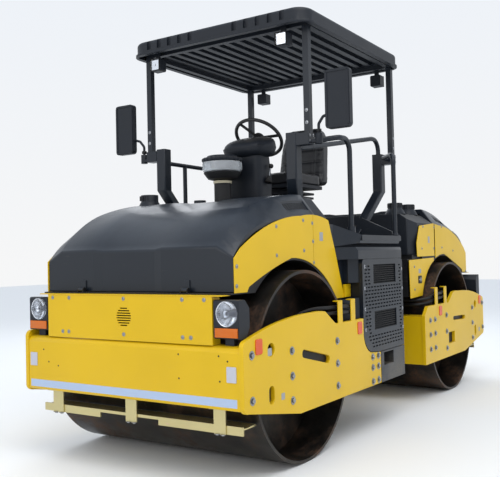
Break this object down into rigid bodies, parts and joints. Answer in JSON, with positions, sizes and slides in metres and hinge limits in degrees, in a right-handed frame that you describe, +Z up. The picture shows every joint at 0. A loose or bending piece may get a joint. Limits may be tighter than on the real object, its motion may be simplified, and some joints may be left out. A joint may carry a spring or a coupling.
{
  "type": "tandem vibratory roller",
  "caption": "Articulated soil and asphalt roller with smooth steel drums, hinged hoods, an open operator's stand and a roof.",
  "frame": {"origin": "on the ground, at the middle of the machine's length and width", "axes": "+X forward, +Y to the machine's left, +Z up"},
  "size_m": [4.5906, 2.105, 3.015],
  "materials": {
    "yellow_paint": "semi-gloss paint",
    "slate_paint": "satin paint",
    "hood_plastic": "moulded, semi-gloss, slate blue",
    "slate_plastic": "moulded, fine grain",
    "black_steel": "satin black paint",
    "drum_steel": "rolled steel with a bloom of rust",
    "zinc_steel": "passivated zinc",
    "chrome_rod": "polished",
    "cast_engine": "as cast, painted dark",
    "lamp_glass": "clear",
    "amber_lens": "clear amber",
    "black_rubber": "matte",
    "seat_cover": "stitched vinyl",
    "wheel_plastic": "soft-touch",
    "bowl_plastic": "smoked"
  },
  "bodies": {
    "front_frame": {"front_side_plates": "yellow_paint", "front_beam": "yellow_paint", "front_panel": "yellow_paint", "headlamps": "slate_plastic", "headlamp_glasses": "lamp_glass", "indicators": "amber_lens", "front_deck": "black_steel", "engine": "cast_engine", "front_covers": "yellow_paint", "front_drum_carriers": "black_steel", "front_scraper": "zinc_steel", "front_hoses": "black_rubber", "centre_frame": "black_steel", "cabinets": "slate_paint", "cabinet_grilles": "slate_paint", "platform": "slate_paint", "cowl": "slate_plastic", "console": "slate_plastic", "seat_base": "slate_plastic", "seat_cushion": "seat_cover", "seat_back": "seat_cover", "columns": "slate_paint", "canopy_posts": "slate_paint", "canopy": "slate_plastic", "work_lamps": "slate_plastic", "mirrors": "slate_plastic", "handrails": "slate_paint", "pre_cleaner": "bowl_plastic"},
    "front_drum_body": {"front_drum": "drum_steel"},
    "front_hood_body": {"front_hood": "hood_plastic", "front_filler_cap": "slate_plastic"},
    "steering_wheel_body": {"steering_wheel": "wheel_plastic"},
    "yoke_body": {"yoke": "yellow_paint"},
    "barrel_left_body": {"steering_barrel_left": "black_steel"},
    "rod_left_body": {"steering_rod_left": "chrome_rod"},
    "barrel_right_body": {"steering_barrel_right": "black_steel"},
    "rod_right_body": {"steering_rod_right": "chrome_rod"},
    "rear_drum_body": {"rear_drum": "drum_steel"},
    "rear_hood_body": {"rear_hood": "hood_plastic"},
    "rear_frame": {"rear_side_plates": "yellow_paint", "rear_cross": "yellow_paint", "rear_upper_frame": "black_steel", "rear_beam": "yellow_paint", "rear_panel": "yellow_paint", "rear_lamps": "slate_plastic", "rear_deck": "black_steel", "rear_covers": "yellow_paint", "tank": "slate_plastic", "tank_caps": "slate_plastic", "rear_drum_carriers": "black_steel", "rear_scraper": "zinc_steel", "rear_hoses": "black_rubber"}
  },
  "joints": [
    {"name": "front_drum_roll", "type": "hinge", "parent": "front_frame", "child": "front_drum_body", "pos_m": [1.505, 0, 0.61], "axis": [0, 1, 0], "continuous": true},
    {"name": "articulation", "type": "hinge", "parent": "front_frame", "child": "yoke_body", "pos_m": [0.055, 0, 0.61], "axis": [0, 0, 1], "range_deg": [-30, 30]},
    {"name": "oscillation", "type": "hinge", "parent": "yoke_body", "child": "rear_frame", "pos_m": [-0.545, 0, 0.61], "axis": [1, 0, 0], "range_deg": [-8, 8]},
    {"name": "rear_drum_roll", "type": "hinge", "parent": "rear_frame", "child": "rear_drum_body", "pos_m": [-1.395, 0, 0.61], "axis": [0, 1, 0], "continuous": true},
    {"name": "front_hood_open", "type": "hinge", "parent": "front_frame", "child": "front_hood_body", "pos_m": [2.215, 0, 1.122], "axis": [0, 1, 0], "range_deg": [0, 55]},
    {"name": "rear_hood_open", "type": "hinge", "parent": "rear_frame", "child": "rear_hood_body", "pos_m": [-2.144, 0, 1.122], "axis": [0, -1, 0], "range_deg": [0, 55]},
    {"name": "steering_wheel_turn", "type": "hinge", "parent": "front_frame", "child": "steering_wheel_body", "pos_m": [0.683, 0, 2.262], "axis": [-0.6428, 0, 0.766], "continuous": true},
    {"name": "left_barrel_swing", "type": "hinge", "parent": "front_frame", "child": "barrel_left_body", "pos_m": [0.153, 0.22, 0.56], "axis": [0, 0, 1], "range_deg": [-24, 24]},
    {"name": "left_rod_slide", "type": "slide", "parent": "barrel_left_body", "child": "rod_left_body", "axis": [-0.9812, -0.1928, 0], "range_m": [-0.107, 0.107]},
    {"name": "right_barrel_swing", "type": "hinge", "parent": "front_frame", "child": "barrel_right_body", "pos_m": [0.153, -0.22, 0.56], "axis": [0, 0, 1], "range_deg": [-24, 24]},
    {"name": "right_rod_slide", "type": "slide", "parent": "barrel_right_body", "child": "rod_right_body", "axis": [-0.9812, 0.1928, 0], "range_m": [-0.107, 0.107]}
  ],
  "couplings": [
    {"joint": "left_barrel_swing", "follows": "articulation", "ratio": 0.7124},
    {"joint": "left_rod_slide", "follows": "articulation", "m_per_rad": 0.19479},
    {"joint": "right_barrel_swing", "follows": "articulation", "ratio": 0.7124},
    {"joint": "right_rod_slide", "follows": "articulation", "m_per_rad": -0.19479}
  ]
}
